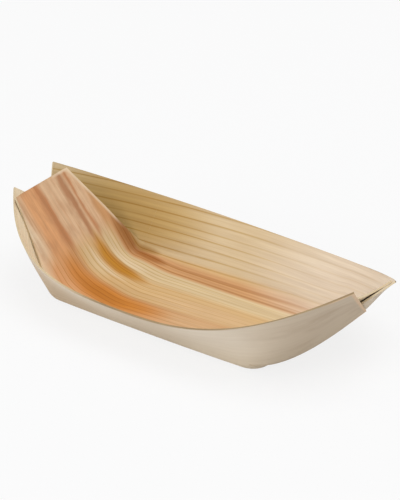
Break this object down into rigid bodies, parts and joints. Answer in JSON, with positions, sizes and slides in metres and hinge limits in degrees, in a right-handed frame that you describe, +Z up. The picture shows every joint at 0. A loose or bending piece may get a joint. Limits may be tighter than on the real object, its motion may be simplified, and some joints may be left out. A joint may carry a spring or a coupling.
{
  "type": "wooden snack boat",
  "caption": "Small boat-shaped snack dish folded from thin pine veneer, with a flat floor, flared side walls and pointed ends where the walls wrap behind upturned tabs.",
  "frame": {"origin": "middle of the flat underside of the floor, at the level of the table it rests on", "axes": "+X along the boat to the end with the tallest ear, +Y to the far side wall, +Z up out of the dish"},
  "size_m": [0.1663, 0.0877, 0.04],
  "materials": {
    "veneer_inside": "bare planed pine with orange heartwood streaks",
    "veneer_heartwood": "bare planed pine heartwood",
    "veneer_wall": "bare planed pine sapwood",
    "glue": "dried food-safe adhesive, satin"
  },
  "bodies": {
    "root": {"floor_panel": "veneer_inside", "left_end_tab": "veneer_heartwood", "right_end_tab": "veneer_heartwood", "near_side_wall": "veneer_wall", "far_side_wall": "veneer_wall", "near_left_flap": "veneer_wall", "near_right_flap": "veneer_wall", "far_left_flap": "veneer_wall", "far_right_flap": "veneer_wall", "near_left_glue": "glue", "near_right_glue": "glue", "far_left_glue": "glue", "far_right_glue": "glue"}
  },
  "joints": []
}
